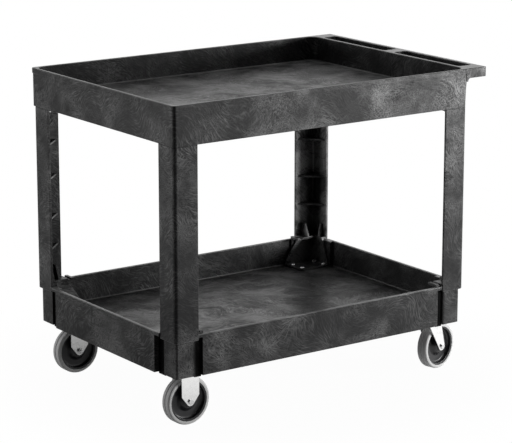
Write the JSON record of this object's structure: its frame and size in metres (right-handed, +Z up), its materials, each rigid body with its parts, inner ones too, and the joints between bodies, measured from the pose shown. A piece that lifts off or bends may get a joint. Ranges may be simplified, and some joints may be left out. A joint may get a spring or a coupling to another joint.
{
  "type": "rolling utility cart",
  "caption": "Moulded utility cart: deep-lipped top tray with a slotted push handle, lipped lower shelf, L-section corner legs, rigid casters at one end and swivel casters at the handle end.",
  "frame": {"origin": "on the floor, under the middle of the bounding box", "axes": "+X towards the handle and swivel casters, +Y towards the back side, +Z up"},
  "size_m": [1, 0.69, 0.84],
  "materials": {
    "foam": "moulded structural foam with grey flow swirls",
    "fastener": "zinc plated",
    "zinc_steel": "bright zinc plated pressing",
    "bearing_steel": "polished",
    "hub": "moulded",
    "tread": "satin thermoplastic rubber"
  },
  "bodies": {
    "cart": {"top_tray": "foam", "lower_shelf": "foam", "leg_front_left": "foam", "leg_front_right": "foam", "leg_back_left": "foam", "leg_back_right": "foam", "leg_screws": "fastener", "caster_bolts": "fastener", "caster_nuts": "fastener", "rigid_fork_front": "zinc_steel", "swivel_plate_front": "zinc_steel", "race_balls_front": "bearing_steel", "kingpin_front": "fastener", "kingpin_nut_front": "fastener", "axle_sleeve_front_left": "bearing_steel", "axle_bolt_front_left": "fastener", "axle_nut_front_left": "fastener", "rigid_fork_back": "zinc_steel", "swivel_plate_back": "zinc_steel", "race_balls_back": "bearing_steel", "kingpin_back": "fastener", "kingpin_nut_back": "fastener", "axle_sleeve_back_left": "bearing_steel", "axle_bolt_back_left": "fastener", "axle_nut_back_left": "fastener"},
    "swivel_front": {"swivel_fork_front": "zinc_steel", "axle_sleeve_front_right": "bearing_steel", "axle_bolt_front_right": "fastener", "axle_nut_front_right": "fastener"},
    "swivel_back": {"swivel_fork_back": "zinc_steel", "axle_sleeve_back_right": "bearing_steel", "axle_bolt_back_right": "fastener", "axle_nut_back_right": "fastener"},
    "wheel_front_left": {"wheel_hub_front_left": "hub", "tyre_front_left": "tread"},
    "wheel_front_right": {"wheel_hub_front_right": "hub", "tyre_front_right": "tread"},
    "wheel_back_left": {"wheel_hub_back_left": "hub", "tyre_back_left": "tread"},
    "wheel_back_right": {"wheel_hub_back_right": "hub", "tyre_back_right": "tread"}
  },
  "joints": [
    {"name": "swivel_front_turn", "type": "hinge", "parent": "cart", "child": "swivel_front", "pos_m": [0.368, -0.272, 0.15], "axis": [0, 0, 1], "continuous": true},
    {"name": "swivel_back_turn", "type": "hinge", "parent": "cart", "child": "swivel_back", "pos_m": [0.368, 0.272, 0.15], "axis": [0, 0, 1], "continuous": true},
    {"name": "wheel_front_left_spin", "type": "hinge", "parent": "cart", "child": "wheel_front_left", "pos_m": [-0.422, -0.272, 0.0635], "axis": [0, 1, 0], "continuous": true},
    {"name": "wheel_front_right_spin", "type": "hinge", "parent": "swivel_front", "child": "wheel_front_right", "pos_m": [0.40704, -0.26327, 0.0635], "axis": [-0.2181, 0.9759, 0], "continuous": true},
    {"name": "wheel_back_left_spin", "type": "hinge", "parent": "cart", "child": "wheel_back_left", "pos_m": [-0.422, 0.272, 0.0635], "axis": [0, 1, 0], "continuous": true},
    {"name": "wheel_back_right_spin", "type": "hinge", "parent": "swivel_back", "child": "wheel_back_right", "pos_m": [0.408, 0.272, 0.0635], "axis": [0, 1, 0], "continuous": true}
  ]
}
